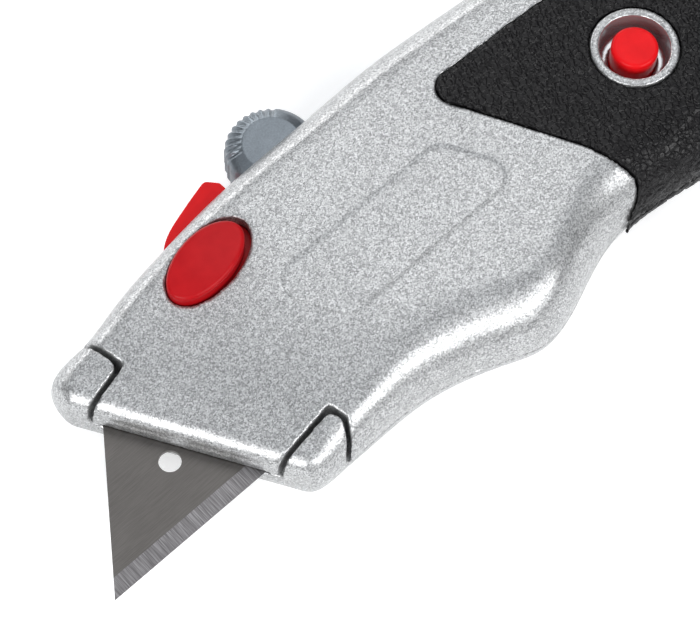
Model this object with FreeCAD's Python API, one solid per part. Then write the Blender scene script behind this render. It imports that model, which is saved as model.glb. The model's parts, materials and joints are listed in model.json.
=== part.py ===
import FreeCAD, Part
import math
import os

# Utility knife with a trapezoid blade, as separate pieces, in millimetres.
# Design frame: the blade's tip is the origin and the blade's mid plane is Z = 0. +X runs along
# the sharp edge from the tip to the tail, +Y points to the spine and +Z out of the left cover.
# On export every piece gets the same shift, so that the knife lies on its right grip with the
# middle of its box above the origin.

V = FreeCAD.Vector
UP = V(0, 0, 1)
TO_SPINE = V(0, 1, 0)

# ---- driving dimensions: housing ----
HALF_THICKNESS = 8.5          # flat face of each half above the parting plane
# Cross sections, nose to tail, each in an upright plane through a belly and a spine point:
# belly x, belly y, spine x, spine y, belly rounding, spine rounding, half height.
SECTIONS = [
    (33.0, -6.45, 13.2, 27.3, 4.5, 4.0, 5.0),
    (39.5, -6.3, 19.0, 28.3, 5.0, 4.2, 6.1),
    (46.5, -6.4, 26.5, 29.9, 7.0, 4.4, 7.2),
    (52.5, -7.4, 34.5, 31.2, 9.5, 4.6, 7.95),
    (58.0, -9.2, 43.5, 32.3, 11.5, 4.8, 8.35),
    (62.5, -11.0, 54.0, 32.9, 11.0, 5.2, 8.48),
    (66.0, -11.6, 63.0, 33.1, 8.8, 5.5, 8.5),
    (70.5, -10.7, 71.0, 33.4, 7.4, 5.8, 8.5),
    (75.5, -8.8, 78.0, 33.2, 7.8, 5.8, 8.5),
    (81.0, -7.0, 84.0, 32.8, 8.4, 5.8, 8.5),
    (87.0, -6.4, 90.0, 32.3, 8.8, 5.8, 8.5),
    (95.0, -7.2, 97.5, 31.7, 9.0, 6.0, 8.5),
    (105.0, -9.0, 107.0, 30.4, 9.0, 6.5, 8.5),
    (117.0, -11.4, 119.0, 28.1, 9.0, 7.0, 8.5),
    (130.0, -13.3, 132.0, 24.7, 9.0, 7.0, 8.5),
    (142.0, -14.6, 145.5, 20.1, 8.5, 7.0, 8.5),
    (153.0, -16.6, 159.0, 13.9, 8.0, 7.0, 8.5),
    (162.0, -19.2, 169.5, 7.6, 7.5, 7.0, 8.5),
]
# End roundings: reach along the knife, inset at the belly, at the spine and in height, and how
# far the belly leans in for each millimetre of reach.
NOSE_ROUND = (3.2, 0.74, 4.6, 3.0, 0.55)
TAIL_ROUND = (9.0, 7.0, 8.0, 4.5, 0.0)
END_ROWS = 4
PARTING_GAP = 0.6             # visible gap between the tongue and the ears

# ---- driving dimensions: blade and its slide ----
BLADE_LENGTH = 61.0
BLADE_WIDTH = 19.0
BLADE_THICKNESS = 0.6
BLADE_END_RUN = 14.7          # how far the slanted ends run along the blade
BEVEL_WIDTH = 2.3
EDGE_LAND = 0.04              # thickness left at the sharp edge
BLADE_HOLE_RADIUS = 1.5
BLADE_HOLE_X = 17.6
BLADE_HOLE_Y = 9.3
NOTCH_RADIUS = 1.6
NOTCH_Y = 17.2
NOTCH_OFFSET = 4.75           # notches sit this far either side of the blade's middle
SLOT_HALF = 0.35              # half width of the blade slot between the shells
CARRIER_TRAVEL = 30.0
SLIDER_X = 57.0               # middle of the thumb slider with the blade out
SLIDER_Y = 32.95
SLIDER_RADIUS = 6.35
SLIDER_HALF = 4.0
SLIDER_FLOOR = 26.0
SLIDER_RIM = 1.4              # rounding of the slider's rim
SLIDER_GROOVES = 10
SLIDER_GROOVE_START = 163.0   # direction of the first groove, in degrees
SLIDER_GROOVE_PITCH = 10.6
SLIDER_GROOVE_RADIUS = 0.55
SLIDER_GROOVE_LIFT = 0.22
SLIDER_NECK_HALF = 5.2        # half length of the shoulders under the head
CARRIER_FRONT = 30.5
CARRIER_REAR = 66.0
CARRIER_LOW = 3.0             # the carrier plate lies between these two Y values
CARRIER_HIGH = 19.2
CARRIER_BACK = -3.3           # far face of the carrier plate
PEG_TOP = 0.28
MAGNET_X = 51.5
MAGNET_Y = 9.3
MAGNET_RADIUS = 3.0
MAGNET_BACK = -2.6
DETENT_COUNT = 4

# ---- driving dimensions: cover hinge ----
HINGE_X = 150.0
HINGE_Z = 4.0
DRUM_RADIUS = 5.2
DRUM_GAP = 0.3
KNUCKLE_LOW = -10.0           # the cover's hinge drum lies between these two Y values
KNUCKLE_HIGH = 13.0
KNUCKLE_GAP = 0.15
PIN_RADIUS = 1.2
PIN_CLEARANCE = 0.05

# ---- driving dimensions: grips and buttons ----
GRIP_PROUD = 0.4
GRIP_CROWN = 0.1              # how far the grips' skin stands above their flat before trimming
GRIP_DEPTH = 1.2
CASE_BUTTON_X = 101.0
CASE_BUTTON_Y = 9.1
RING_RADIUS = 6.02
RING_TOP = HALF_THICKNESS + GRIP_PROUD
RING_ROUNDING = 0.2
MOUTH_TOP_RADIUS = 4.85
MOUTH_LOW_RADIUS = 4.5
MOUTH_DEPTH = 4.0
CAP_RADIUS = 3.2
CAP_CLEARANCE = 0.08
CAP_TOP = 8.9
FLANGE_RADIUS = 4.6
FLANGE_LOW = 3.0
FLANGE_TOP = 3.95
STEM_RADIUS = 1.9
STEM_LOW = 1.6
BUTTON_CHAMBER_RADIUS = 4.9
BUTTON_CHAMBER_TOP = 4.0
OVAL_X = 37.5
OVAL_Y = 24.35
OVAL_LONG = 6.6
OVAL_SHORT = 3.65
OVAL_TURN = 8.0               # the oval's long axis against +X, degrees
OVAL_TOP = 9.6
OVAL_CROWN_RADIUS = 34.0
OVAL_FLANGE_LOW = 5.2
OVAL_FLANGE_TOP = 6.3
OVAL_PLATE_LOW = 3.3          # the plate that holds the oval button's spring
OVAL_PLATE_TOP = 3.8
OVAL_HOLE_SHIFT = 0.5         # the hole's middle lies this far behind the button's
CAVITY_DEPTH = 5.4
CAVITY_INSET = 5.0
LABEL_DEPTH = 0.25
LANYARD_X = 168.5
LANYARD_Y = -9.5
LANYARD_RADIUS = 2.5

# ---- driving dimensions: catch under the case button ----
SCREW_SPREAD = 6.6            # the clip's screws sit this far either side of the button
SCREW_RADIUS = 0.7
SCREW_HEAD_RADIUS = 1.4
CLIP_LOW = 0.4
CLIP_TOP = 0.9
CLIP_HALF_WIDTH = 4.4
CLIP_HALF_LENGTH = 8.2
PRONG_OFFSET = 3.0
PRONG_HALF = 0.3
PRONG_LOW = -2.4
STUD_RADIUS = 1.2
STUD_LOW = -5.5
STUD_HEAD_RADIUS = 2.2
STUD_HEAD_LOW = -1.4

# ---- driving dimensions: red lever ----
LEVER_PIVOT_X = 38.6
LEVER_PIVOT_Y = 28.6
LEVER_PIN_RADIUS = 1.0
LEVER_HALF = 2.9
LEVER_SLOT_HALF = 3.2

# ---- driving dimensions: spare blade store ----
SPARE_COUNT = 5
SPARE_PITCH = 0.62
MAGAZINE_X = 135.5
MAGAZINE_Y = 4.6
MAGAZINE_TURN = -13.0
MAGAZINE_WALL = 0.9
MAGAZINE_ROOM = 0.2           # play between the spare blades and the tray
MAGAZINE_BASE = 0.6           # thickness of the tray's floor
MAGAZINE_FLOOR = -CAVITY_DEPTH + 0.05
MAGAZINE_TOP = -1.7

# ---- the part's origin, under the middle of the box of all pieces ----
BOX_MIDDLE = V(88.15, 10.14, -HALF_THICKNESS - GRIP_PROUD)

TALL = 30.0                   # taller than any piece, for prisms that cut right through
ROUND_STEPS = 6
SKIN_SEAM_X = 88.0            # the lofted skin is split into two faces here
EAR_ROUNDING = 1.2
SHARP_JOIN = 2                # offset corners meet in a point


# ---- helpers ----
def prism(points, z_low, z_high):
    """Upright prism over a polygon of (x, y) points."""
    corners = [V(x, y, z_low) for x, y in points]
    face = Part.Face(Part.makePolygon(corners + corners[:1]))
    return face.extrude(V(0, 0, z_high - z_low))


def box(x_low, x_high, y_low, y_high, z_low, z_high):
    corner = V(x_low, y_low, z_low)
    return Part.makeBox(x_high - x_low, y_high - y_low, z_high - z_low, corner)


def disc(radius, x, y, z_low, z_high):
    return Part.makeCylinder(radius, z_high - z_low, V(x, y, z_low), UP)


def oval(long_half, short_half, x, y, z_low, z_high):
    """Upright oval prism, turned like the oval button."""
    curve = Part.Ellipse(V(0, 0, 0), long_half, short_half)
    solid = Part.Face(Part.Wire(curve.toShape())).extrude(V(0, 0, z_high - z_low))
    solid.rotate(V(0, 0, 0), UP, OVAL_TURN)
    solid.translate(V(x, y, z_low))
    return solid


def button_disc(radius, z_low, z_high):
    """Disc on the case button's axis."""
    return disc(radius, CASE_BUTTON_X, CASE_BUTTON_Y, z_low, z_high)


def screw_row(radius, z_low, z_high):
    """One disc on each clip screw's axis."""
    places = (CASE_BUTTON_Y - SCREW_SPREAD, CASE_BUTTON_Y + SCREW_SPREAD)
    return [disc(radius, CASE_BUTTON_X, y, z_low, z_high) for y in places]


def drum(radius, y_low, y_high):
    """Cylinder about the cover hinge's axis."""
    return Part.makeCylinder(radius, y_high - y_low, V(HINGE_X, y_low, HINGE_Z), TO_SPINE)


def mirrored(shape):
    return shape.mirror(V(0, 0, 0), UP)


def upright_edges(solid, places):
    """Upright edges of a prism nearest to the given (x, y) corners."""
    upright = [e for e in solid.Edges if abs(e.tangentAt(e.FirstParameter).z) > 0.99]
    found = []
    for x, y in places:
        found.append(min(upright, key=lambda e: (e.CenterOfMass - V(x, y, e.CenterOfMass.z)).Length))
    return found


def rounded(solid, radius, places):
    return solid.makeFillet(radius, upright_edges(solid, places))


def smooth_edge(points):
    """One smooth edge through (x, y) points."""
    curve = Part.BSplineCurve()
    curve.interpolate([V(x, y, 0) for x, y in points])
    return curve.toShape()


def coil(radius, wire, z_low, z_high, turns, x, y):
    """Compression spring with its axis along Z."""
    height = z_high - z_low - 2 * wire
    helix = Part.makeLongHelix(height / turns, height, radius)
    start = Part.Wire(Part.Circle(V(radius, 0, 0), TO_SPINE, wire).toShape())
    spring = Part.Wire(helix.Edges).makePipeShell([start], True, True)
    spring.translate(V(x, y, z_low + wire))
    return spring


def strip(points, thickness, z_low, z_high):
    """Bent leaf: a smooth line through (x, y) points, thickened towards +Y."""
    low = smooth_edge(points)
    high = smooth_edge([(x, y + thickness) for x, y in points])
    first = Part.LineSegment(low.Vertexes[0].Point, high.Vertexes[0].Point).toShape()
    last = Part.LineSegment(low.Vertexes[-1].Point, high.Vertexes[-1].Point).toShape()
    face = Part.Face(Part.Wire([low, last, high, first]))
    leaf = face.extrude(V(0, 0, z_high - z_low))
    leaf.translate(V(0, 0, z_low))
    return leaf


# ---- housing skin ----
def section_points(section, inset, end=(0, 0, 0), shift=V(0, 0, 0)):
    """Points over one cross section, belly to spine: quarter round, flat face, quarter round."""
    belly = V(section[0], section[1], 0)
    spine = V(section[2], section[3], 0)
    across = (spine - belly).normalize()
    width = (spine - belly).Length
    belly_inset = inset + end[0]
    spine_inset = inset + end[1]
    height = section[6] - inset - end[2]
    belly_end = max(section[4], belly_inset + 1)
    spine_start = width - max(section[5], spine_inset + 1)
    profile = []
    for step in range(ROUND_STEPS + 1):
        turn = math.pi / 2 * step / ROUND_STEPS
        along = belly_end - (belly_end - belly_inset) * math.cos(turn)
        profile.append((along, height * math.sin(turn)))
    for part in (0.1, 0.5, 0.9):
        profile.append((belly_end + (spine_start - belly_end) * part, height))
    for step in range(ROUND_STEPS, -1, -1):
        turn = math.pi / 2 * step / ROUND_STEPS
        along = spine_start + (width - spine_inset - spine_start) * math.cos(turn)
        profile.append((along, height * math.sin(turn)))
    return [belly + shift + across * along + UP * rise for along, rise in profile]


def end_rows(section, inset, rounding, forward):
    """Sections that round the housing's end over, from the end face inwards."""
    reach, belly_in, spine_in, height_in, lean = rounding
    along = V(section[3] - section[1], section[0] - section[2], 0).normalize() * forward
    rows = []
    for step in range(END_ROWS):
        turn = math.pi / 2 * step / END_ROWS
        left = 1 - math.sin(turn)
        ahead = reach * math.cos(turn)
        moved_in = (belly_in * left + lean * ahead, spine_in * left, height_in * left)
        rows.append(section_points(section, inset, moved_in, along * (ahead - inset)))
    return rows


def half_body(inset):
    """Half of the housing above the parting plane, moved in by inset, with its skin in two faces."""
    nose = end_rows(SECTIONS[0], inset, NOSE_ROUND, -1)
    tail = end_rows(SECTIONS[-1], inset, TAIL_ROUND, 1)
    middle = [section_points(section, inset) for section in SECTIONS]
    surface = Part.BSplineSurface()
    surface.interpolate(nose + middle + tail[::-1])
    skin = surface.toShape()
    sides = sorted(skin.Edges, key=lambda e: e.Length)
    faces = [skin]
    closing = []
    for arch in sides[:2]:
        line = Part.LineSegment(arch.Vertexes[0].Point, arch.Vertexes[-1].Point).toShape()
        closing.append(line)
        faces.append(Part.Face(Part.Wire([arch, line])))
    faces.append(Part.Face(Part.Wire(Part.sortEdges(sides[2:] + closing)[0])))
    shell = Part.Shell(faces)
    shell.sewShape()
    solid = Part.Solid(shell)
    if solid.Volume < 0:
        solid.reverse()
    front = solid.common(box(-50, SKIN_SEAM_X, -100, 100, -1, TALL))
    rear = solid.common(box(SKIN_SEAM_X, 250, -100, 100, -1, TALL))
    return front.fuse(rear)


def flat_grip_skin():
    """Skin that the grips reach up to, trimmed flat so that the knife lies steadily."""
    flat = HALF_THICKNESS + GRIP_PROUD
    return half_body(-GRIP_PROUD - GRIP_CROWN).cut(box(-50, 250, -100, 100, flat, flat + TALL))


def plan_cavity(inset, first, last, z_low, z_high):
    """Prism over the plan outline, moved in by inset, between two of the sections."""
    chosen = SECTIONS[first:last + 1]
    belly_line = []
    spine_line = []
    for section in chosen:
        belly = V(section[0], section[1], 0)
        spine = V(section[2], section[3], 0)
        across = (spine - belly).normalize()
        low = belly + across * inset
        high = spine - across * inset
        belly_line.append((low.x, low.y))
        spine_line.append((high.x, high.y))
    low_edge = smooth_edge(belly_line)
    high_edge = smooth_edge(spine_line)
    nose_edge = Part.LineSegment(V(*belly_line[0], 0), V(*spine_line[0], 0)).toShape()
    tail_edge = Part.LineSegment(V(*belly_line[-1], 0), V(*spine_line[-1], 0)).toShape()
    outline = Part.Wire([low_edge, tail_edge, high_edge, nose_edge])
    solid = Part.Face(outline).extrude(V(0, 0, z_high - z_low))
    solid.translate(V(0, 0, z_low))
    return solid


# ---- plan outlines shared by several pieces ----
def ear(corners, round_corners, gap):
    """Ear prism with round corners, or with a gap the sharp-cornered notch that it stands in."""
    if gap == 0:
        return rounded(prism(corners, 0, TALL), EAR_ROUNDING, round_corners)
    outline = Part.makePolygon([V(x, y, 0) for x, y in corners + corners[:1]])
    return Part.Face(outline.makeOffset2D(gap, SHARP_JOIN)).extrude(V(0, 0, TALL))


def spine_ear(gap):
    """Ear of the right shell beside the tongue, on the spine side."""
    corners = [(0, 19.4), (13.4, 20.6), (20.2, 22.0), (19.5, 25.4), (17.6, 34), (0, 34)]
    return ear(corners, [corners[2]], gap)


def belly_ear(gap):
    """Ear of the right shell beside the tongue, on the belly side."""
    inner = [(18.7, -2.7), (27.6, -1.9), (35.8, -1.0), (36.3, -3.0), (35.2, -5.0)]
    corners = inner + [(29.0, -11), (18.7, -11)]
    return ear(corners, inner[2:], gap)


def grip_prism():
    """Plan outline of a grip, from the tip behind the label to the metal tail."""
    top = smooth_edge([(74.6, 24.1), (86, 23.3), (98, 22.6), (118, 18.8), (134, 13.6), (142.5, 10.2)])
    tail, tip = (142.5, 10.2), (74.6, 24.1)
    bend, heel = (85.6, 3.2), (88.7, -4.9)
    corners = [tail, (141.0, -25), (83.5, -25), (83.5, -7.4), heel, bend, tip]
    sides = Part.makePolygon([V(x, y, 0) for x, y in corners])
    solid = Part.Face(Part.Wire([top] + sides.Edges)).extrude(V(0, 0, TALL))
    for corner, radius in ((tip, 2.6), (tail, 3.0), (bend, 12.0), (heel, 2.0)):
        solid = rounded(solid, radius, [corner])
    return solid


def side_zones(gap):
    """The two stretches beside the cover's hinge drum, where the right shell's cheeks are."""
    low = box(HINGE_X - 20, HINGE_X + 20, -40, KNUCKLE_LOW - gap, -TALL, TALL)
    high = box(HINGE_X - 20, HINGE_X + 20, KNUCKLE_HIGH + gap, 40, -TALL, TALL)
    return low.fuse(high)


def spine_openings():
    """Slots and pockets for the lever, the slider and the blade, cut from both shells."""
    wide = LEVER_SLOT_HALF
    lever_slot = box(35.2, 49.6, 26.0, 45, -wide, wide)
    slider_slot = box(50.3, 94.9, 28, 45, -4.4, 4.4)
    slider_room = box(49.6, 96.4, 19.6, 29.6, -5.9, 5.9)
    lever_room = box(34.0, 50.0, 19.6, 29.2, -wide, wide)
    blade_slot = box(-5, 98, -0.5, 19.6, -SLOT_HALF, SLOT_HALF)
    return [lever_slot, slider_slot, slider_room, lever_room, blade_slot]


def cut_all(shape, tools):
    for tool in tools:
        shape = shape.cut(tool)
    return shape


OUTER = half_body(0)
CORE = half_body(GRIP_DEPTH)
GRIP_SKIN = flat_grip_skin()
GRIP_PRISM = grip_prism()
GRIP_ROOM = GRIP_PRISM.cut(CORE)


# ---- housing pieces ----
def label_recess():
    """Shallow slanted recess on the left face."""
    corners = [(40.2, 16.9), (46.2, 5.85), (77.6, 5.85), (71.6, 16.9)]
    solid = rounded(prism(corners, 1, TALL), 3.0, corners)
    return solid.cut(half_body(LABEL_DEPTH))


def button_ring():
    """Silver boss round the case button."""
    ring = button_disc(RING_RADIUS, CAVITY_DEPTH, RING_TOP)
    rim = [e for e in ring.Edges if abs(e.CenterOfMass.z - RING_TOP) < 0.01]
    return ring.makeFillet(RING_ROUNDING, rim)


def case_button_bores():
    """Sloping mouth, bore for the cap, chamber for the flange and spring, and screw holes."""
    mouth_base = V(CASE_BUTTON_X, CASE_BUTTON_Y, RING_TOP - MOUTH_DEPTH)
    mouth = Part.makeCone(MOUTH_LOW_RADIUS, MOUTH_TOP_RADIUS, MOUTH_DEPTH, mouth_base, UP)
    bore = button_disc(CAP_RADIUS + CAP_CLEARANCE, FLANGE_LOW, TALL)
    chamber = button_disc(BUTTON_CHAMBER_RADIUS, 0, BUTTON_CHAMBER_TOP)
    return [mouth, bore, chamber] + screw_row(SCREW_RADIUS, 0, BUTTON_CHAMBER_TOP)


def oval_button_bores():
    x = OVAL_X + OVAL_HOLE_SHIFT
    top_hole = oval(OVAL_LONG + 0.6, OVAL_SHORT + 0.4, x, OVAL_Y, OVAL_PLATE_LOW - 0.3, TALL)
    chamber = oval(OVAL_LONG + 1.0, OVAL_SHORT + 0.8, x, OVAL_Y, 0, OVAL_FLANGE_TOP + 0.1)
    return [top_hole, chamber]


def left_shell():
    shell = OUTER.common(box(-10, HINGE_X, -40, 50, 0, TALL))
    boss = button_disc(8.2, 1.0, CAVITY_DEPTH)
    shell = shell.cut(plan_cavity(CAVITY_INSET, 6, 15, 0, CAVITY_DEPTH).cut(boss))
    shell = cut_all(shell, spine_openings() + [spine_ear(PARTING_GAP), belly_ear(PARTING_GAP)])
    shell = shell.cut(drum(DRUM_RADIUS + DRUM_GAP, -40, 50).common(side_zones(-KNUCKLE_GAP)))
    whole = OUTER.fuse(mirrored(OUTER))
    knuckle = drum(DRUM_RADIUS, KNUCKLE_LOW + KNUCKLE_GAP, KNUCKLE_HIGH - KNUCKLE_GAP)
    shell = shell.fuse(knuckle.common(whole))
    shell = shell.cut(GRIP_ROOM).fuse(button_ring())
    pin_hole = drum(PIN_RADIUS + PIN_CLEARANCE, -40, 50)
    return cut_all(shell, [label_recess(), pin_hole] + case_button_bores() + oval_button_bores())


def right_shell():
    trough = drum(DRUM_RADIUS + DRUM_GAP, KNUCKLE_LOW, KNUCKLE_HIGH)
    tail = OUTER.common(box(HINGE_X, 250, -60, 50, 0, TALL))
    cheeks = OUTER.common(drum(DRUM_RADIUS, -60, 50)).common(side_zones(0))
    ears = OUTER.common(spine_ear(0)).fuse(OUTER.common(belly_ear(0)))
    stud_boss = button_disc(4.0, -CAVITY_DEPTH, -3.0)
    shell = mirrored(OUTER).cut(mirrored(GRIP_ROOM))
    shell = shell.cut(plan_cavity(CAVITY_INSET, 6, 15, -CAVITY_DEPTH, 0).cut(stud_boss))
    shell = shell.cut(box(29.0, 98, CARRIER_LOW - 0.4, 19.7, CARRIER_BACK - 0.15, 0))
    shell = shell.fuse(tail).fuse(cheeks).fuse(ears)
    shell = cut_all(shell, spine_openings() + [trough, magazine_pocket()])
    lanyard = disc(LANYARD_RADIUS, LANYARD_X, LANYARD_Y, -TALL, TALL)
    pin_hole = Part.makeCylinder(PIN_RADIUS, 60, V(HINGE_X, -13.6, HINGE_Z), TO_SPINE)
    stud_hole = button_disc(STUD_RADIUS, STUD_LOW - 0.1, 0)
    lever_hole = disc(LEVER_PIN_RADIUS, LEVER_PIVOT_X, LEVER_PIVOT_Y, -5.6, 0)
    return cut_all(shell, [lanyard, pin_hole, stud_hole, lever_hole] + detent_notches())


def grip(mirror):
    body = GRIP_SKIN.common(GRIP_ROOM)
    if mirror:
        return mirrored(body)
    return body.cut(button_disc(RING_RADIUS + 0.1, 0, TALL))


def hinge_pin():
    return Part.makeCylinder(PIN_RADIUS, 29.0, V(HINGE_X, -13.5, HINGE_Z), TO_SPINE)


# ---- blade, carrier and thumb slider ----
def blade_shape():
    """Trapezoid blade with ground bevels, two round holes and two back notches."""
    half = BLADE_THICKNESS / 2
    land = EDGE_LAND / 2
    near_side = [(0, -land), (BEVEL_WIDTH, -half), (BLADE_WIDTH, -half)]
    far_side = [(y, -z) for y, z in reversed(near_side)]
    corners = [V(0, y, z) for y, z in near_side + far_side]
    bar = Part.Face(Part.makePolygon(corners + corners[:1])).extrude(V(BLADE_LENGTH, 0, 0))
    back = [(BLADE_LENGTH - BLADE_END_RUN, BLADE_WIDTH), (BLADE_END_RUN, BLADE_WIDTH)]
    blade = bar.common(prism([(0, 0), (BLADE_LENGTH, 0)] + back, -half, half))
    for x in (BLADE_HOLE_X, BLADE_LENGTH - BLADE_HOLE_X):
        blade = blade.cut(disc(BLADE_HOLE_RADIUS, x, BLADE_HOLE_Y, -half, half))
    for side in (-1, 1):
        x = BLADE_LENGTH / 2 + side * NOTCH_OFFSET
        mouth = box(x - NOTCH_RADIUS, x + NOTCH_RADIUS, NOTCH_Y, BLADE_WIDTH, -half, half)
        blade = blade.cut(mouth.fuse(disc(NOTCH_RADIUS, x, NOTCH_Y, -half, half)))
    return blade


def blade_carrier():
    """Plate beside the blade, with a rail under the slider and pegs in the blade."""
    face = -SLOT_HALF
    plate = box(CARRIER_FRONT, CARRIER_REAR, CARRIER_LOW, CARRIER_HIGH, CARRIER_BACK, face)
    rail = box(51.0, CARRIER_REAR, 19.0, 23.4, CARRIER_BACK, 3.0)
    rail = rail.cut(box(50, 70, 18, 19.7, face, 5))
    tongue_slot = box(SLIDER_X - 2.1, SLIDER_X + 2.1, 20.4, 30, -2.1, 2.1)
    carrier = plate.fuse(rail).cut(tongue_slot)
    front_corners = [(CARRIER_FRONT, CARRIER_LOW), (CARRIER_FRONT, CARRIER_HIGH)]
    carrier = rounded(carrier, 2.0, front_corners + [(CARRIER_REAR, CARRIER_LOW)])
    notch_x = BLADE_LENGTH / 2 + NOTCH_OFFSET
    hole_x = BLADE_LENGTH - BLADE_HOLE_X
    notch_peg = disc(NOTCH_RADIUS - 0.2, notch_x, NOTCH_Y, face - 1, PEG_TOP)
    hole_peg = disc(BLADE_HOLE_RADIUS - 0.15, hole_x, BLADE_HOLE_Y, face - 1, PEG_TOP)
    magnet_seat = disc(MAGNET_RADIUS, MAGNET_X, MAGNET_Y, MAGNET_BACK, 0)
    return carrier.fuse([notch_peg, hole_peg]).cut(magnet_seat)


def blade_magnet():
    return disc(MAGNET_RADIUS, MAGNET_X, MAGNET_Y, MAGNET_BACK, -SLOT_HALF)


def slider_head():
    """Coin-shaped head of the thumb slider with a rounded rim."""
    head = disc(SLIDER_RADIUS, SLIDER_X, SLIDER_Y, -SLIDER_HALF, SLIDER_HALF)
    rims = [e for e in head.Edges if e.Length > 6 * SLIDER_RADIUS]
    head = head.makeFillet(SLIDER_RIM, rims)
    return head.common(box(40, 80, SLIDER_FLOOR + 2, 50, -6, 6))


def slider_grooves():
    """Grooves across the head, evenly spaced along its rim."""
    reach = SLIDER_RADIUS + SLIDER_GROOVE_LIFT
    grooves = []
    for groove in range(SLIDER_GROOVES):
        turn = math.radians(SLIDER_GROOVE_START - groove * SLIDER_GROOVE_PITCH)
        x = SLIDER_X + reach * math.cos(turn)
        y = SLIDER_Y + reach * math.sin(turn)
        grooves.append(disc(SLIDER_GROOVE_RADIUS, x, y, -6, 6))
    return grooves


def thumb_slider():
    """Knurled slider: grooved head above the spine, shoulders under it and a tongue below."""
    head = cut_all(slider_head(), slider_grooves())
    nose_side = SLIDER_X - SLIDER_NECK_HALF
    tail_side = SLIDER_X + SLIDER_NECK_HALF
    shoulders = box(nose_side, tail_side, SLIDER_FLOOR, 29.4, -5.6, 5.6)
    tongue = box(SLIDER_X - 2.0, SLIDER_X + 2.0, 21.8, SLIDER_FLOOR + 1, -2.0, 2.0)
    nub = Part.makeCylinder(0.8, 1.4, V(SLIDER_X, 28.75, -5.6), UP)
    return head.fuse([shoulders, tongue, nub])


def detent_notches():
    """Notches in the right shell over the slider's nub, one per blade position."""
    notches = []
    for stop in range(DETENT_COUNT):
        x = SLIDER_X + stop * CARRIER_TRAVEL / (DETENT_COUNT - 1)
        notches.append(Part.makeCylinder(1.1, 1.7, V(x, 29.3, -5.9), UP))
    return notches


def slider_spring():
    """Bent leaf between the carrier's rail and the slider's shoulders."""
    bend = [(59.6, 23.4), (61.0, 23.9), (62.6, 25.0), (64.2, 25.6), (65.4, 25.7)]
    return strip(bend, 0.25, -1.8, 1.8)


# ---- red lever and oval button ----
def release_lever():
    """Wedge on the spine, low in front and high behind, that rocks on a pin."""
    front, crest = (35.9, 30.9), (46.9, 35.2)
    top = smooth_edge([front, (37.2, 32.0), (40.8, 33.5), (44.6, 34.6), crest])
    heel = [(48.3, 33.6), (48.4, 29.6), (46.8, 28.9)]
    corners = [crest] + heel + [(41.4, 27.2), (36.0, 27.2), front]
    rest = Part.makePolygon([V(x, y, 0) for x, y in corners])
    wedge = Part.Face(Part.Wire([top] + rest.Edges)).extrude(V(0, 0, 2 * LEVER_HALF))
    wedge.translate(V(0, 0, -LEVER_HALF))
    wedge = rounded(wedge, 0.9, [corners[0], corners[3], corners[4], corners[5]])
    wedge = rounded(wedge, 0.6, [corners[1]])
    hole = disc(LEVER_PIN_RADIUS + 0.05, LEVER_PIVOT_X, LEVER_PIVOT_Y, -TALL, TALL)
    return wedge.cut(hole)


def lever_pin():
    return disc(LEVER_PIN_RADIUS, LEVER_PIVOT_X, LEVER_PIVOT_Y, -5.5, 2.8)


def lever_spring():
    """Leaf under the lever's tail, seated in the right shell."""
    bend = [(40.4, 19.65), (43.5, 20.4), (46.0, 23.6), (47.2, 26.4), (48.4, 27.6)]
    return strip(bend, 0.3, -1.6, 1.6)


def release_button():
    """Oval push button with a crowned face and a flange inside the cover."""
    cap = oval(OVAL_LONG, OVAL_SHORT, OVAL_X, OVAL_Y, OVAL_FLANGE_LOW, OVAL_TOP + 1)
    crown_middle = V(OVAL_X + 1.5, OVAL_Y, OVAL_TOP - OVAL_CROWN_RADIUS)
    cap = cap.common(Part.makeSphere(OVAL_CROWN_RADIUS, crown_middle))
    rims = [e for e in cap.Edges if e.Length > 10 and e.BoundBox.ZMin > 7]
    cap = cap.makeFillet(0.6, rims)
    long_half, short_half = OVAL_LONG + 0.7, OVAL_SHORT + 0.5
    flange = oval(long_half, short_half, OVAL_X + 0.4, OVAL_Y, OVAL_FLANGE_LOW, OVAL_FLANGE_TOP)
    return cap.fuse(flange)


def release_button_spring():
    return coil(2.2, 0.2, OVAL_PLATE_TOP, OVAL_FLANGE_LOW, 1.8, OVAL_X, OVAL_Y)


def release_button_retainer():
    x = OVAL_X + OVAL_HOLE_SHIFT
    return oval(OVAL_LONG + 0.95, OVAL_SHORT + 0.75, x, OVAL_Y, OVAL_PLATE_LOW, OVAL_PLATE_TOP)


# ---- case button and its catch ----
def case_button():
    """Round cap with a flange and a stem below it."""
    cap = button_disc(CAP_RADIUS, FLANGE_LOW, CAP_TOP)
    rim = max(cap.Edges, key=lambda e: e.CenterOfMass.z)
    cap = cap.makeFillet(0.6, [rim])
    flange = button_disc(FLANGE_RADIUS, FLANGE_LOW, FLANGE_TOP)
    stem = button_disc(STEM_RADIUS, STEM_LOW, FLANGE_LOW + 0.5)
    return cap.fuse([flange, stem])


def case_button_spring():
    return coil(3.4, 0.25, CLIP_TOP, FLANGE_LOW, 1.8, CASE_BUTTON_X, CASE_BUTTON_Y)


def latch_clip():
    """Plate under the button boss with two prongs that reach down beside the stud."""
    x, y = CASE_BUTTON_X, CASE_BUTTON_Y
    wide, long = CLIP_HALF_WIDTH, CLIP_HALF_LENGTH
    plate = box(x - wide, x + wide, y - long, y + long, CLIP_LOW, CLIP_TOP)
    prongs = []
    for side in (-1, 1):
        middle = x + side * PRONG_OFFSET
        prong = box(middle - PRONG_HALF, middle + PRONG_HALF, y - 2, y + 2, PRONG_LOW, CLIP_TOP)
        prongs.append(prong)
    holes = [button_disc(STUD_HEAD_RADIUS, 0, 2)] + screw_row(SCREW_RADIUS, 0, 2)
    return cut_all(plate.fuse(prongs), holes)


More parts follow.
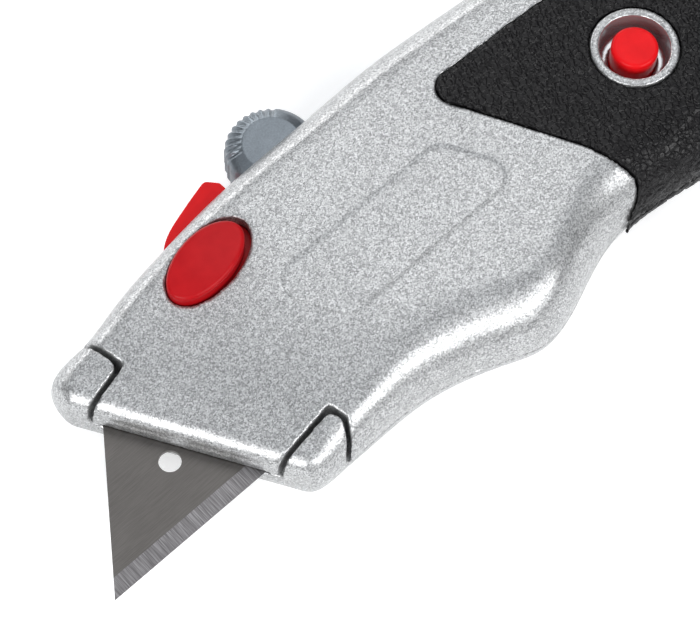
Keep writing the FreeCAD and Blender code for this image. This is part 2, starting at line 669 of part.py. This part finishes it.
def clip_screws():
    heads = screw_row(SCREW_HEAD_RADIUS, -0.3, CLIP_LOW)
    shanks = screw_row(SCREW_RADIUS, 0, BUTTON_CHAMBER_TOP - 0.1)
    return Part.makeCompound([head.fuse(shank) for head, shank in zip(heads, shanks)])


def latch_stud():
    stud = button_disc(STUD_RADIUS, STUD_LOW, -0.6)
    collar = button_disc(2.0, -3.0, -2.5)
    head_base = V(CASE_BUTTON_X, CASE_BUTTON_Y, STUD_HEAD_LOW)
    head = Part.makeCone(STUD_HEAD_RADIUS, 0.9, 1.2, head_base, UP)
    return stud.fuse([collar, head])


# ---- spare blade store ----
def placed_in_handle(shape):
    shape.rotate(V(0, 0, 0), UP, MAGAZINE_TURN)
    shape.translate(V(MAGAZINE_X, MAGAZINE_Y, 0))
    return shape


def magazine_outline(gap):
    """Trapezoid like a blade's, centred on the origin and moved out by gap."""
    base = BLADE_LENGTH / 2
    top = base - BLADE_END_RUN
    side = BLADE_WIDTH / 2
    low = base + 1.6 * gap
    high = top + gap
    wide = side + gap
    return [(-low, -wide), (low, -wide), (high, wide), (-high, wide)]


def magazine_pocket():
    """Room for the magazine under the hinge; the handle's cavity holds the rest of it."""
    room = prism(magazine_outline(MAGAZINE_WALL + 0.4), -CAVITY_DEPTH, MAGAZINE_TOP + 0.2)
    return placed_in_handle(room)


def blade_magazine():
    """Open tray that holds the spare blades flat in the right shell."""
    wall = magazine_outline(MAGAZINE_WALL + MAGAZINE_ROOM)
    outside = prism(wall, MAGAZINE_FLOOR, MAGAZINE_TOP)
    base = MAGAZINE_FLOOR + MAGAZINE_BASE
    inside = prism(magazine_outline(MAGAZINE_ROOM), base, TALL)
    thumb_gap = disc(7.0, 0, -BLADE_WIDTH / 2 - 3, base, TALL)
    return placed_in_handle(outside.cut(inside).cut(thumb_gap))


def spare_blades():
    """Five spare blades, stacked in the tray."""
    stack = []
    for number in range(SPARE_COUNT):
        blade = blade_shape()
        base = MAGAZINE_FLOOR + MAGAZINE_BASE + BLADE_THICKNESS / 2 + 0.01
        height = base + number * SPARE_PITCH
        blade.translate(V(-BLADE_LENGTH / 2, -BLADE_WIDTH / 2, height))
        stack.append(placed_in_handle(blade))
    return Part.makeCompound(stack)


def magazine_spring():
    """Bowed leaf that keeps the stack down, clipped at the tray's nose end."""
    low = MAGAZINE_FLOOR + MAGAZINE_BASE + SPARE_COUNT * SPARE_PITCH + 0.02
    bow = [(-12, 0.0), (-8, 0.6), (-2, 0.85), (4, 0.6), (8, 0.05)]
    leaf = strip(bow, 0.2, -2.5, 2.5)
    leaf.rotate(V(0, 0, 0), V(1, 0, 0), 90)
    leaf.translate(V(0, 0, low))
    return placed_in_handle(leaf)


PIECES = {
    "left_shell": left_shell,
    "right_shell": right_shell,
    "left_grip": lambda: grip(False),
    "right_grip": lambda: grip(True),
    "hinge_pin": hinge_pin,
    "blade": blade_shape,
    "blade_carrier": blade_carrier,
    "blade_magnet": blade_magnet,
    "thumb_slider": thumb_slider,
    "slider_spring": slider_spring,
    "release_lever": release_lever,
    "lever_pin": lever_pin,
    "lever_spring": lever_spring,
    "release_button": release_button,
    "release_button_spring": release_button_spring,
    "release_button_retainer": release_button_retainer,
    "case_button": case_button,
    "case_button_spring": case_button_spring,
    "latch_clip": latch_clip,
    "clip_screws": clip_screws,
    "latch_stud": latch_stud,
    "blade_magazine": blade_magazine,
    "spare_blades": spare_blades,
    "magazine_spring": magazine_spring,
}


def export_all():
    """Build every piece, shift them all to the part's frame and write them."""
    shapes = {}
    for name, make in PIECES.items():
        shapes[name] = make()
        print(name, shapes[name].isValid(), len(shapes[name].Solids), round(shapes[name].Volume, 1))
    os.makedirs("parts", exist_ok=True)
    for name, shape in shapes.items():
        shape.translate(-BOX_MIDDLE)
        shape.exportStep("parts/" + name + ".step")


export_all()
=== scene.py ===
"""Looks of a retractable utility knife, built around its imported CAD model."""

import json
import math

import bpy
from mathutils import Matrix, Vector, noise


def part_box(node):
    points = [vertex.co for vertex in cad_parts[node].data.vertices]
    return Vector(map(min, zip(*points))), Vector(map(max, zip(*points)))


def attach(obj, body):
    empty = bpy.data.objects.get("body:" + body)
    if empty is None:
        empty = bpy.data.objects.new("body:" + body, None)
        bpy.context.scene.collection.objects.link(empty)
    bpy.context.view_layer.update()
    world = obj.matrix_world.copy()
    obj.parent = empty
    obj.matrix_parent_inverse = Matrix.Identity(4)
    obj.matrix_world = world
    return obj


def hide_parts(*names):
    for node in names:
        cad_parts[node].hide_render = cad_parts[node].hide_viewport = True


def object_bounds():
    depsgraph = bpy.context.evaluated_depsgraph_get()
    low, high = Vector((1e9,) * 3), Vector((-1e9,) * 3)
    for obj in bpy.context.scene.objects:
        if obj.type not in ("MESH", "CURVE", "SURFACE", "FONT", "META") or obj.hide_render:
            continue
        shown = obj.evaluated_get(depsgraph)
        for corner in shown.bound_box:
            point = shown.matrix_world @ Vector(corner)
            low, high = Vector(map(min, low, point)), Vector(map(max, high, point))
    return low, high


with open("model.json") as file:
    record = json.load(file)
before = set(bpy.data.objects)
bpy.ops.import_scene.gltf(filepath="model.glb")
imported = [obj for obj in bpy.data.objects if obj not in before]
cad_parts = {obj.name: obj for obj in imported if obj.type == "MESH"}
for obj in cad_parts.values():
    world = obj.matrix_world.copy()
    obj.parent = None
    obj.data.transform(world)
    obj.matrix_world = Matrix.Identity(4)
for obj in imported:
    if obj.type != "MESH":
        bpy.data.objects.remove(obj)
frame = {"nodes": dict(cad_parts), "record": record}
cad_low, cad_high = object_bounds()
nodes = frame["nodes"]

MM = 0.001

# ---- driving values: grips ----
GRAIN_VOXEL = 0.28 * MM        # mesh size of the rubber
GRAIN_CELL = 1.15 * MM         # width of one cell of the leather grain
GRAIN_DEPTH = 0.22 * MM
GRAIN_WARP = 0.5               # how far the cells are pushed about, in cells
GRAIN_CREASE = 0.35            # share of a cell that slopes down into the creases
GRAIN_SWELL = 0.4              # share of the height that comes and goes over a few cells
GRIP_SMOOTHING = 2
GRIP_SHRINK = 0.03 * MM        # room left beside the metal

# ---- driving values: painted castings ----
CAST_VOXEL = 0.28 * MM         # mesh size before it is thinned out
CAST_SMOOTHING = 3             # rounds of smoothing, which soften the cast edges
CAST_KEEP = 0.35               # share of the faces kept

# ---- driving values: paint and plastic ----
FLAKES = 5.6                   # metal flakes per millimetre in the silver paint
GRAINS = 10.0                  # finer grains that darken some of the flakes
BUTTON_RED = 0.37
LEVER_RED = 0.62
CAP_RED = 0.62

# ---- driving values: thumb slider ----
KNOB_VOXEL = 0.13 * MM
KNOB_SMOOTHING = 1
KNOB_RADIUS = 6.35 * MM
KNOB_BEVEL = 2.4 * MM          # width of the sloping rim
KNOB_DROP = 1.1 * MM           # how far the rim slopes down
KNURLS = 11
KNURL_START = 152.4            # direction of the first groove, in degrees
KNURL_PITCH = 10.6
KNURL_DEPTH = 0.5 * MM

# ---- driving values: blade ----
BEVEL_WIDTH = 2.3 * MM
BEVEL_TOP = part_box("blade")[0].y + BEVEL_WIDTH

# ---- driving values: mouth round the case button ----
MOUTH_MIDDLE = (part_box("case_button")[0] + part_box("case_button")[1]) / 2
MOUTH_RADIUS = 4.9 * MM
MOUTH_TONE = (0.50, 0.50, 0.51)
MOUTH_ROUGHNESS = (0.16, 0.16, 0.16)

# ---- driving values: camera ----
CAMERA_PLACE = Vector((-0.16779, -0.12296, 0.39220))
CAMERA_AZIMUTH = math.radians(-46.559)
CAMERA_ELEVATION = math.radians(65.221)
CAMERA_ROLL = math.radians(3.7046)
CAMERA_LENS = 165.606
SENSOR_WIDTH = 36.0

# ---- driving values: light and floor ----
DOME_HORIZON = (0.25, (0.10, 0.105, 0.115, 1))   # height in the dome's ramp, and colour
DOME_TOP = (0.95, (0.93, 0.96, 1.0, 1))
DOME_STRENGTH = 0.9
LIGHT_AIM = Vector((0, 0, 0.01))
# Softboxes: name, place, width, height and power.
SOFTBOXES = [
    ("top_softbox", (0.55, 0.35, 1.15), 0.9, 0.9, 3.2),
    ("spine_softbox", (0.3, 1.2, 0.30), 1.8, 0.5, 9.5),
    ("belly_softbox", (0.1, -0.95, 0.65), 1.0, 0.3, 9),
    ("nose_softbox", (-1.0, -0.3, 0.60), 0.7, 0.35, 8),
]
FLOOR_HALF = 3.0
FLOOR_GLOW = 0.30


# ---- node helpers ----
class Paint:
    """A new material and short ways to add and join its nodes."""

    def __init__(self, name):
        self.material = bpy.data.materials.new(name)
        self.material.use_nodes = True
        self.tree = self.material.node_tree
        self.shader = self.tree.nodes["Principled BSDF"]
        place = self.tree.nodes.new("ShaderNodeTexCoord")
        self.place = place.outputs["Object"]

    def set(self, **values):
        """Sets sockets of the shader; underscores in a name stand for spaces."""
        for name, value in values.items():
            self.shader.inputs[name.replace("_", " ")].default_value = value

    def node(self, kind, **settings):
        made = self.tree.nodes.new(kind)
        for name, value in settings.items():
            setattr(made, name, value)
        return made

    def join(self, source, target):
        self.tree.links.new(source, target)

    def math(self, operation, first, second):
        made = self.node("ShaderNodeMath", operation=operation)
        for socket, value in zip(made.inputs, (first, second)):
            if isinstance(value, (int, float)):
                socket.default_value = value
            else:
                self.join(value, socket)
        return made.outputs[0]

    def stretched(self, scale=(1, 1, 1), turn=0.0):
        """Object coordinates in millimetres, turned about Z and scaled."""
        mapping = self.node("ShaderNodeMapping")
        mapping.inputs["Scale"].default_value = [s / MM for s in scale]
        mapping.inputs["Rotation"].default_value = (0, 0, turn)
        self.join(self.place, mapping.inputs["Vector"])
        return mapping.outputs[0]

    def noise(self, scale, detail=2.0, place=None, output="Fac"):
        made = self.node("ShaderNodeTexNoise")
        made.inputs["Scale"].default_value = scale
        made.inputs["Detail"].default_value = detail
        self.join(place or self.stretched(), made.inputs["Vector"])
        return made.outputs[output]

    def cells(self, scale, feature="F1", place=None):
        made = self.node("ShaderNodeTexVoronoi", feature=feature)
        made.inputs["Scale"].default_value = scale
        self.join(place or self.stretched(), made.inputs["Vector"])
        return made

    def random_values(self, scale):
        """Three random values that stay the same over each small cell."""
        made = self.node("ShaderNodeSeparateColor")
        self.join(self.cells(scale).outputs["Color"], made.inputs[0])
        return made.outputs

    def ramp(self, value, stops):
        """Colour ramp over (position, grey or colour) stops."""
        made = self.node("ShaderNodeValToRGB")
        elements = made.color_ramp.elements
        while len(elements) < len(stops):
            elements.new(0.5)
        for element, (position, colour) in zip(elements, stops):
            element.position = position
            if isinstance(colour, (int, float)):
                colour = (colour, colour, colour)
            element.color = (*colour, 1)
        self.join(value, made.inputs["Fac"])
        return made.outputs["Color"]

    def mix(self, kind, factor, first, second):
        made = self.node("ShaderNodeMix", data_type="RGBA", blend_type=kind)
        pairs = (("Factor", factor), ("A", first), ("B", second))
        for name, value in pairs:
            socket = next(s for s in made.inputs if s.name == name and s.enabled)
            if isinstance(value, (int, float)):
                socket.default_value = value
            elif isinstance(value, tuple):
                socket.default_value = (*value, 1)
            else:
                self.join(value, socket)
        return next(s for s in made.outputs if s.enabled)

    def near_axis(self, middle, radius):
        """1 inside an upright cylinder about a point and 0 outside it."""
        split = self.node("ShaderNodeSeparateXYZ")
        self.join(self.place, split.inputs[0])
        across = self.math("SUBTRACT", split.outputs["X"], middle.x)
        along = self.math("SUBTRACT", split.outputs["Y"], middle.y)
        squared = self.math("ADD", self.math("POWER", across, 2.0), self.math("POWER", along, 2.0))
        return self.math("LESS_THAN", squared, radius * radius)

    def bump(self, height, depth, strength=1.0, under=None):
        """Bump whose full height is depth, in metres."""
        made = self.node("ShaderNodeBump")
        made.inputs["Strength"].default_value = strength
        made.inputs["Distance"].default_value = depth
        self.join(height, made.inputs["Height"])
        if under is not None:
            self.join(under, made.inputs["Normal"])
        return made.outputs["Normal"]

    def colour(self, value):
        self.join(value, self.shader.inputs["Base Color"])

    def roughness(self, value):
        self.join(value, self.shader.inputs["Roughness"])

    def normal(self, value):
        self.join(value, self.shader.inputs["Normal"])


# ---- materials ----
def silver_paint():
    """Sparkle lacquer: flakes of many greys and tilts, and a plain wall in the button's mouth."""
    paint = Paint("silver_paint")
    paint.set(Metallic=0.8, Coat_Weight=0.15, Coat_Roughness=0.3)
    flakes = paint.random_values(FLAKES)
    grains = paint.random_values(GRAINS)
    flake_tone = paint.ramp(flakes[0], [(0.0, 0.27), (0.5, 0.47), (1.0, 0.70)])
    grain_tone = paint.ramp(grains[1], [(0.0, 0.62), (0.6, 0.95), (1.0, 1.0)])
    tone = paint.mix("MULTIPLY", 1.0, flake_tone, grain_tone)
    cloud = paint.ramp(paint.noise(0.06, 3.0), [(0.3, 0.93), (0.7, 1.0)])
    tinted = paint.mix("MULTIPLY", 1.0, tone, (0.985, 0.995, 1.0))
    sparkle = paint.mix("MULTIPLY", 1.0, tinted, cloud)
    in_mouth = paint.near_axis(MOUTH_MIDDLE, MOUTH_RADIUS)
    paint.colour(paint.mix("MIX", in_mouth, sparkle, MOUTH_TONE))
    rough = paint.ramp(flakes[2], [(0.0, 0.30), (1.0, 0.44)])
    paint.roughness(paint.mix("MIX", in_mouth, rough, MOUTH_ROUGHNESS))
    lacquer = paint.bump(paint.noise(1.1, 2.0), 0.02 * MM, 0.4)
    flake_height = paint.mix("MIX", in_mouth, flakes[1], (0.5, 0.5, 0.5))
    paint.normal(paint.bump(flake_height, 0.06 * MM, 0.7, lacquer))
    return paint.material


def grip_rubber():
    """Black rubber: large grain is in the mesh, and fine creases with painted shade in them and a
    worn sheen are here.
    """
    paint = Paint("grip_rubber")
    paint.set(Metallic=0.0, Specular_IOR_Level=0.22)
    drift = paint.mix("LINEAR_LIGHT", 0.35, paint.stretched(), paint.noise(0.9, output="Color"))
    creases = paint.cells(1.25, "DISTANCE_TO_EDGE", drift)
    fine = paint.noise(6.0, 3.0)
    wear = paint.noise(0.12, 3.0)
    tone = paint.ramp(wear, [(0.25, (0.0042, 0.0038, 0.0044)), (0.8, (0.0075, 0.0068, 0.0075))])
    # Painted shade: the colour is darkened into the creases and is lightest just beside them.
    painted_crease_shade = paint.ramp(creases.outputs["Distance"], [(0.0, 0.45), (0.10, 1.0), (0.30, 0.8)])
    paint.colour(paint.mix("MULTIPLY", 1.0, tone, painted_crease_shade))
    paint.roughness(paint.ramp(wear, [(0.2, 0.28), (0.8, 0.40)]))
    soft = paint.ramp(creases.outputs["Distance"], [(0.0, 0.0), (0.16, 1.0)])
    first = paint.bump(soft, 0.12 * MM, 0.9)
    paint.normal(paint.bump(fine, 0.03 * MM, 0.7, first))
    return paint.material


def red_plastic(name, red):
    """Glossy moulded plastic with faint flow marks and handling haze."""
    paint = Paint(name)
    paint.set(Metallic=0.0, Specular_IOR_Level=0.10, Coat_Weight=0.03, Coat_Roughness=0.2)
    flow = paint.noise(0.5, 3.0)
    haze = paint.noise(1.7, 5.0)
    dull, bright = (red * 0.92, 0.004, 0.007), (red * 1.06, 0.006, 0.009)
    paint.colour(paint.ramp(flow, [(0.3, dull), (0.7, bright)]))
    paint.roughness(paint.ramp(haze, [(0.3, 0.28), (0.7, 0.38)]))
    paint.normal(paint.bump(paint.noise(4.0, 3.0), 0.003 * MM, 0.3))
    return paint.material


def blade_steel():
    """Ground steel: fine slanting lines on the flats, coarse cross lines on the bevel."""
    paint = Paint("blade_steel")
    paint.set(Metallic=1.0)
    lines = paint.noise(1.0, 3.0, paint.stretched((0.35, 14, 1), math.radians(-58)))
    flat_tone = paint.ramp(lines, [(0.3, (0.100, 0.094, 0.089)), (0.7, (0.150, 0.141, 0.134))])
    strokes = paint.noise(1.0, 4.0, paint.stretched((6.5, 0.25, 1), math.radians(12)))
    dull, bright = (0.135, 0.128, 0.130), (0.30, 0.29, 0.295)
    bevel_tone = paint.ramp(strokes, [(0.35, dull), (0.5, (0.20, 0.192, 0.195)), (0.65, bright)])
    split = paint.node("ShaderNodeSeparateXYZ")
    paint.join(paint.place, split.inputs[0])
    on_bevel = paint.math("LESS_THAN", split.outputs["Y"], BEVEL_TOP)
    tone = paint.mix("MIX", on_bevel, flat_tone, bevel_tone)
    cloud = paint.ramp(paint.noise(0.12, 4.0), [(0.3, 0.86), (0.7, 1.0)])
    paint.colour(paint.mix("MULTIPLY", 1.0, tone, cloud))
    paint.roughness(paint.ramp(lines, [(0.2, 0.32), (0.8, 0.46)]))
    height = paint.mix("MIX", on_bevel, lines, strokes)
    paint.normal(paint.bump(height, 0.012 * MM, 0.5))
    return paint.material


def metal(name, colour, low_rough, high_rough, grain_scale, depth, grain=(1, 1, 1)):
    """Plain bright metal with grain, smudges and a slight unevenness."""
    paint = Paint(name)
    paint.set(Metallic=1.0)
    lines = paint.noise(grain_scale, 3.0, paint.stretched(grain))
    smudge = paint.noise(0.35, 3.0)
    dark = tuple(c * 0.82 for c in colour)
    paint.colour(paint.ramp(lines, [(0.3, dark), (0.7, colour)]))
    paint.roughness(paint.ramp(smudge, [(0.3, low_rough), (0.7, high_rough)]))
    paint.normal(paint.bump(lines, depth * MM, 0.5))
    return paint.material


def carrier_plastic():
    """Dark grey nylon with a fine spark-eroded texture."""
    paint = Paint("carrier_plastic")
    paint.set(Metallic=0.0)
    fine = paint.noise(6.0, 3.0)
    dark, pale = (0.028, 0.028, 0.030), (0.042, 0.042, 0.045)
    paint.colour(paint.ramp(paint.noise(0.3), [(0.3, dark), (0.7, pale)]))
    paint.roughness(paint.ramp(fine, [(0.3, 0.48), (0.7, 0.62)]))
    paint.normal(paint.bump(fine, 0.02 * MM, 0.5))
    return paint.material


def pale_floor():
    paint = Paint("pale_floor")
    paint.set(Metallic=0.0, Roughness=0.9)
    cloud = paint.noise(0.02, 2.0)
    paint.colour(paint.ramp(cloud, [(0.3, 0.90), (0.7, 0.92)]))
    paint.set(Emission_Color=(1, 1, 1, 1), Emission_Strength=FLOOR_GLOW)
    return paint.material


MATERIALS = {
    "silver_paint": silver_paint(),
    "grip_rubber": grip_rubber(),
    "red_plastic": red_plastic("red_plastic", BUTTON_RED),
    "blade_steel": blade_steel(),
    "zinc": metal("zinc", (0.19, 0.214, 0.236), 0.34, 0.46, 3.5, 0.06),
    "steel": metal("steel", (0.56, 0.56, 0.57), 0.20, 0.34, 2.0, 0.01, (1, 1, 6)),
    "spring_steel": metal("spring_steel", (0.38, 0.38, 0.40), 0.25, 0.40, 5.0, 0.01),
    "magnet": metal("magnet", (0.68, 0.67, 0.65), 0.10, 0.20, 1.2, 0.004),
    "carrier_plastic": carrier_plastic(),
}


def dress(mesh, material):
    mesh.materials.clear()
    mesh.materials.append(material)


for part in frame["record"]["subparts"]:
    dress(nodes[part["node"]].data, MATERIALS[part["material_slot"]])
# These two catch less light than the oval button, so their red is stronger.
dress(nodes["case_button"].data, red_plastic("red_plastic_cap", CAP_RED))
dress(nodes["release_lever"].data, red_plastic("red_plastic_lever", LEVER_RED))


# ---- meshes made from the CAD solids ----
def applied(obj):
    """The object's mesh with its modifiers applied."""
    graph = bpy.context.evaluated_depsgraph_get()
    mesh = bpy.data.meshes.new_from_object(obj.evaluated_get(graph))
    obj.modifiers.clear()
    obj.data = mesh
    return obj


def remeshed(node, name, voxel, smoothing):
    """Even mesh over a CAD node, with its sharp edges rounded by smoothing."""
    made = bpy.data.objects.new(name, nodes[node].data.copy())
    bpy.context.scene.collection.objects.link(made)
    remesh = made.modifiers.new("remesh", "REMESH")
    remesh.mode = "VOXEL"
    remesh.voxel_size = voxel
    smooth = made.modifiers.new("smooth", "SMOOTH")
    smooth.factor = 0.5
    smooth.iterations = smoothing
    return applied(made)


def painted_casting(node, name):
    """Painted casting whose edges are rounded over, as thick lacquer leaves them."""
    casting = remeshed(node, name, CAST_VOXEL, CAST_SMOOTHING)
    thin = casting.modifiers.new("thin", "DECIMATE")
    thin.ratio = CAST_KEEP
    applied(casting)
    casting.data.shade_smooth()
    return casting


def grain_height(point):
    """0 in the creases and 1 on top of the cells of the leather grain."""
    place = point / GRAIN_CELL
    drift = noise.noise_vector(place * 0.7)
    place = place + drift * GRAIN_WARP
    distances, _ = noise.voronoi(place)
    edge = distances[1] - distances[0]
    cell = min(1.0, edge / GRAIN_CREASE)
    swell = 0.5 + 0.5 * noise.noise(point / GRAIN_CELL * 0.4)
    return cell * cell * (3 - 2 * cell) * (1 - GRAIN_SWELL + GRAIN_SWELL * swell)


def leather_grip(node, name):
    """Rubber grip with rounded rims and a grain pressed into it."""
    grip = remeshed(node, name, GRAIN_VOXEL, GRIP_SMOOTHING)
    mesh = grip.data
    places = [vertex.co.copy() for vertex in mesh.vertices]
    normals = [vertex.normal.copy() for vertex in mesh.vertices]
    for vertex, place, normal in zip(mesh.vertices, places, normals):
        low = GRIP_SHRINK + GRAIN_DEPTH * (1 - grain_height(place))
        vertex.co = place - normal * low
    mesh.shade_smooth()
    return grip


def knurled_slider(node, name):
    """Thumb slider whose round head has a sloping rim with grooves across it."""
    slider = remeshed(node, name, KNOB_VOXEL, KNOB_SMOOTHING)
    low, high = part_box(node)
    middle = Vector(((low.x + high.x) / 2, high.y - KNOB_RADIUS, (low.z + high.z) / 2))
    for vertex in slider.data.vertices:
        across = vertex.co - middle
        height, across.z = across.z, 0
        on_rim = (across.length - KNOB_RADIUS + KNOB_BEVEL) / KNOB_BEVEL
        if on_rim <= 0 or across.y < -KNOB_RADIUS / 2:
            continue
        turn = math.degrees(math.atan2(across.y, across.x))
        groove = (KNURL_START - turn) / KNURL_PITCH
        drop = on_rim * KNOB_DROP
        if -0.5 < groove < KNURLS - 0.5:
            wave = 0.5 + 0.5 * math.cos(2 * math.pi * groove)
            drop += wave * KNURL_DEPTH * min(1, on_rim * 2)
        vertex.co.z -= math.copysign(min(drop, abs(height)), height)
    slider.data.shade_smooth()
    return slider


def put_in_place(piece, node, slot, body):
    """Show the piece instead of a CAD node, in the slot's material and on the body."""
    dress(piece.data, MATERIALS[slot])
    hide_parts(node)
    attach(piece, body)


knob = knurled_slider("thumb_slider", "thumb_slider_knurled")
put_in_place(knob, "thumb_slider", "zinc", "slider")
for side, body in (("left", "cover"), ("right", "housing")):
    casting = painted_casting(side + "_shell", side + "_shell_cast")
    put_in_place(casting, side + "_shell", "silver_paint", body)
    grip = leather_grip(side + "_grip", side + "_grip_rubber")
    put_in_place(grip, side + "_grip", "grip_rubber", body)


# ---- floor, light and camera ----
def add_floor():
    mesh = bpy.data.meshes.new("floor")
    plan = [(-1, -1), (1, -1), (1, 1), (-1, 1)]
    corners = [(x * FLOOR_HALF, y * FLOOR_HALF, cad_low.z) for x, y in plan]
    mesh.from_pydata(corners, [], [(0, 1, 2, 3)])
    mesh.materials.append(pale_floor())
    floor = bpy.data.objects.new("floor", mesh)
    bpy.context.scene.collection.objects.link(floor)


def add_softbox(name, place, width, height, power):
    """Rectangular area light that faces the knife."""
    data = bpy.data.lights.new(name, "AREA")
    data.shape = "RECTANGLE"
    data.size = width
    data.size_y = height
    data.energy = power
    light = bpy.data.objects.new(name, data)
    light.location = place
    light.rotation_mode = "QUATERNION"
    light.rotation_quaternion = (LIGHT_AIM - Vector(place)).to_track_quat("-Z", "Y")
    bpy.context.scene.collection.objects.link(light)


def add_world():
    """Pale studio dome, darker towards the horizon."""
    world = bpy.data.worlds.new("studio")
    world.use_nodes = True
    tree = world.node_tree
    background = tree.nodes["Background"]
    place = tree.nodes.new("ShaderNodeTexCoord")
    split = tree.nodes.new("ShaderNodeSeparateXYZ")
    ramp = tree.nodes.new("ShaderNodeValToRGB")
    tree.links.new(place.outputs["Generated"], split.inputs[0])
    tree.links.new(split.outputs["Z"], ramp.inputs["Fac"])
    tree.links.new(ramp.outputs["Color"], background.inputs["Color"])
    low, high = ramp.color_ramp.elements
    low.position, low.color = DOME_HORIZON
    high.position, high.color = DOME_TOP
    background.inputs["Strength"].default_value = DOME_STRENGTH
    bpy.context.scene.world = world


def add_camera():
    """Camera at the given azimuth, elevation and roll, with the horizon level before the roll."""
    azimuth, elevation = CAMERA_AZIMUTH, CAMERA_ELEVATION
    back = Vector((
        math.sin(azimuth) * math.cos(elevation),
        -math.cos(azimuth) * math.cos(elevation),
        math.sin(elevation),
    ))
    level = Vector((0, 0, 1)).cross(back).normalized()
    upright = back.cross(level)
    right = level * math.cos(CAMERA_ROLL) + upright * math.sin(CAMERA_ROLL)
    up = upright * math.cos(CAMERA_ROLL) - level * math.sin(CAMERA_ROLL)
    data = bpy.data.cameras.new("camera")
    data.lens = CAMERA_LENS
    data.sensor_width = SENSOR_WIDTH
    data.clip_start = 0.01
    data.clip_end = 10
    camera = bpy.data.objects.new("camera", data)
    turn = Matrix((right, up, back)).transposed()
    camera.matrix_world = Matrix.Translation(CAMERA_PLACE) @ turn.to_4x4()
    bpy.context.scene.collection.objects.link(camera)
    bpy.context.scene.camera = camera


add_floor()
for softbox in SOFTBOXES:
    add_softbox(*softbox)
add_world()
add_camera()
bpy.context.scene.view_settings.view_transform = "Standard"
